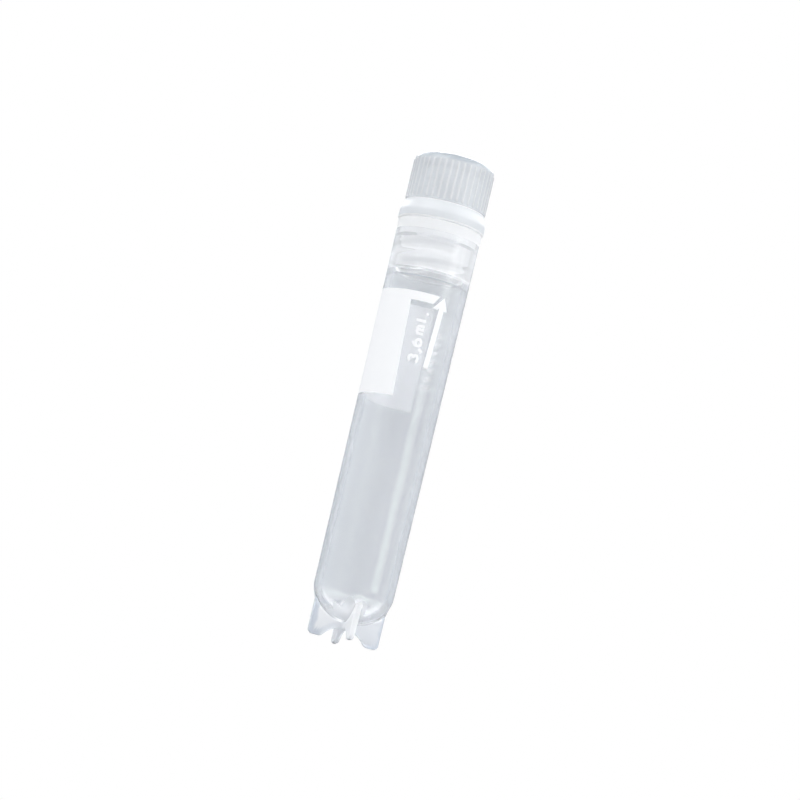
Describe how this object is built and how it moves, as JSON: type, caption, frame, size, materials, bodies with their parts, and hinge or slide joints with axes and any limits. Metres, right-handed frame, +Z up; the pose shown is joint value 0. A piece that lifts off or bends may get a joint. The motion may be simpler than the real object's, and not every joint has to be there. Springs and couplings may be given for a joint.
{
  "type": "cryovial",
  "caption": "Round-bottomed plastic cryogenic vial on a finned star foot, closed by a ribbed screw cap whose threaded stem and sealing ring go down inside the neck.",
  "frame": {"origin": "on the vial's axis, in the plane of the foot pads it stands on", "axes": "+Z up the vial's axis towards the cap; +X and +Y along the two blades of the star foot"},
  "size_m": [0.0126, 0.0126, 0.072],
  "materials": {
    "natural_polypropylene": "smooth moulded, translucent",
    "cap_polypropylene": "smooth moulded, translucent",
    "silicone": "satin, translucent"
  },
  "bodies": {
    "vial": {"vial_tube": "natural_polypropylene"},
    "seal": {"gasket": "silicone"},
    "cap": {"screw_cap": "cap_polypropylene"}
  },
  "joints": [
    {"name": "cap_rise", "type": "slide", "parent": "vial", "child": "seal", "axis": [0, 0, 1], "range_m": [0, 0.0081]},
    {"name": "cap_turn", "type": "hinge", "parent": "seal", "child": "cap", "pos_m": [0, 0, 0.0619], "axis": [0, 0, 1], "range_deg": [0, 1080]}
  ],
  "couplings": [
    {"joint": "cap_turn", "follows": "cap_rise", "rad_per_m": 2327.1}
  ]
}
